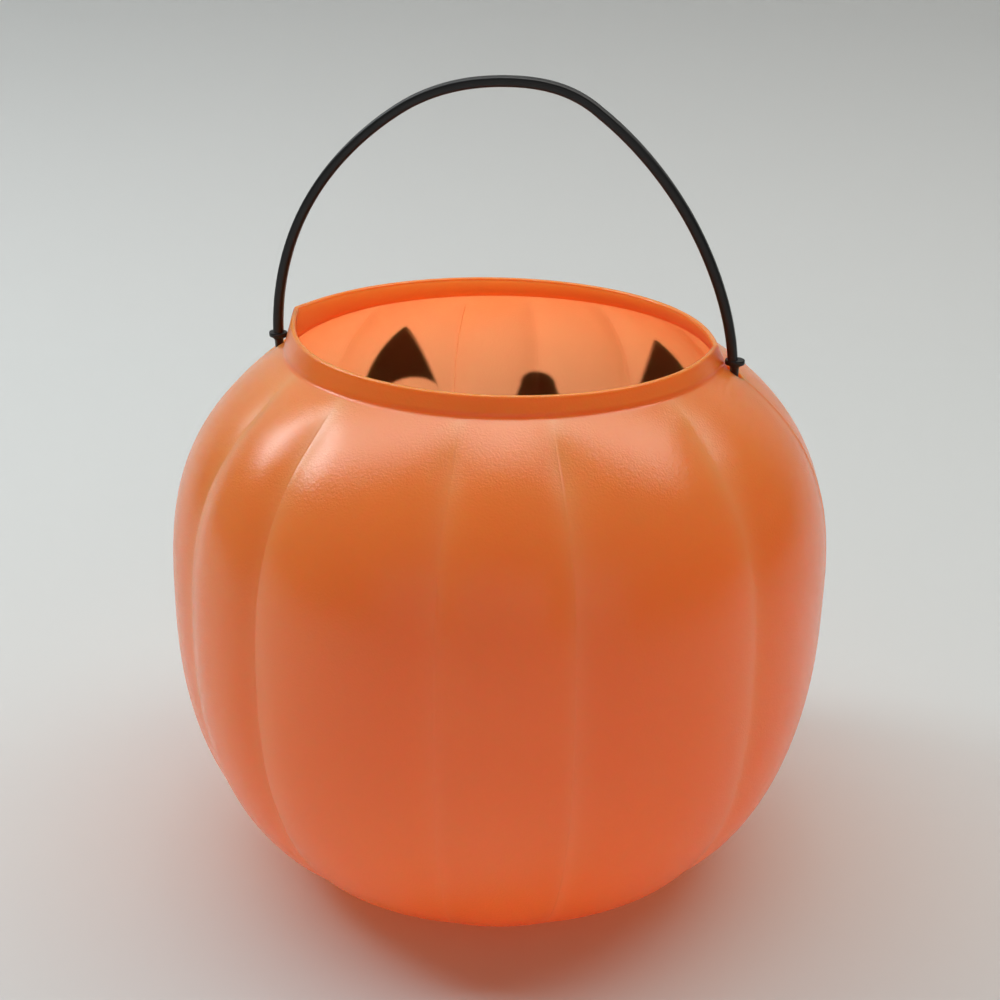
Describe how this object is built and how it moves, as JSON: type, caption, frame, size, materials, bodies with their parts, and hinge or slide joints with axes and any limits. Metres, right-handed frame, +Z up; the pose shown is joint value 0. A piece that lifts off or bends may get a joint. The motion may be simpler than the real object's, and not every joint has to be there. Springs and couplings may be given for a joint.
{
  "type": "pumpkin candy pail",
  "caption": "Lobed pumpkin-shaped plastic pail with an open collared mouth, a painted jack-o'-lantern face and a swinging bail handle, for collecting sweets.",
  "frame": {"origin": "centre of the pail's base, on the plane it stands on", "axes": "+Z up along the pail's axis, -Y the way the painted face looks, X along the line between the handle's pegs"},
  "size_m": [0.213, 0.2147, 0.2606],
  "materials": {
    "orange_shell": "semi-gloss blow-moulded polyethylene, slightly translucent",
    "black_handle": "semi-gloss moulded polyethylene",
    "face_paint": "satin black paint film"
  },
  "bodies": {
    "pail": {"pail_shell": "orange_shell", "left_eye_paint": "face_paint", "right_eye_paint": "face_paint", "nose_paint": "face_paint", "mouth_paint": "face_paint"},
    "handle": {"carry_handle": "black_handle"}
  },
  "joints": [
    {"name": "handle_swing", "type": "hinge", "parent": "pail", "child": "handle", "pos_m": [0, 0, 0.16905], "axis": [1, 0, 0], "range_deg": [-18, 36]}
  ]
}
